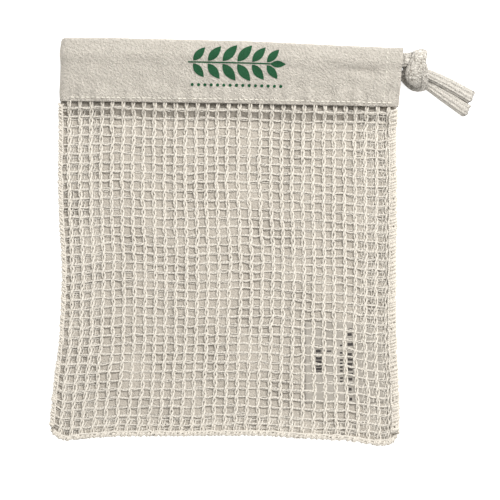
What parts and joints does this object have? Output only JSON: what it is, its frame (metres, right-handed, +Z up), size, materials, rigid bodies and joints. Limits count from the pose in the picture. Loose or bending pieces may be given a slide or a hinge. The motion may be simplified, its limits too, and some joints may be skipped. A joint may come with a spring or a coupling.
{
  "type": "mesh produce bag",
  "caption": "Flat drawstring bag with an open leno net front, a plain cotton back and a cotton band at the mouth, closed by a knotted knitted cord.",
  "frame": {"origin": "under the middle of the bag, on the surface that it lies on", "axes": "+X along the mouth towards the knot, +Y from the closed end towards the mouth, +Z up, out of the net front"},
  "size_m": [0.2468, 0.2358, 0.0134],
  "materials": {
    "muslin": "unbleached cotton muslin, plain weave, matt",
    "net": "unbleached cotton leno net, twisted warp, matt",
    "thread": "spun sewing thread, matt",
    "cord": "knitted cotton tube, lengthwise ribs, matt",
    "label": "woven ribbon, slight sheen",
    "ink": "water-based screen print in dark green"
  },
  "bodies": {
    "bag": {"front_band_outer": "muslin", "front_band_inner": "muslin", "back_band_outer": "muslin", "back_band_inner": "muslin", "band_outer_left_fold": "muslin", "band_inner_left_fold": "muslin", "front_band_end_hem": "muslin", "back_band_end_hem": "muslin", "front_band_topstitch": "thread", "back_band_topstitch": "thread", "front_band_end_stitch": "thread", "front_net_panel": "net", "back_panel": "muslin", "left_net_turn_in": "net", "right_net_turn_in": "net", "end_net_turn_in": "net", "left_overlocked_edge": "thread", "right_overlocked_edge": "thread", "end_overlocked_edge": "thread", "care_label": "label", "care_label_stitch": "thread", "printed_motif": "ink"},
    "drawstring": {"drawstring_front_run": "cord", "drawstring_back_run": "cord", "drawstring_bend": "cord", "drawstring_knot": "cord", "drawstring_tail_upper": "cord", "drawstring_tail_lower": "cord"}
  },
  "joints": [
    {"name": "drawstring_pull", "type": "slide", "parent": "bag", "child": "drawstring", "axis": [1, 0, 0], "range_m": [0, 0.12], "deforming": ["drawstring_bend"]}
  ]
}
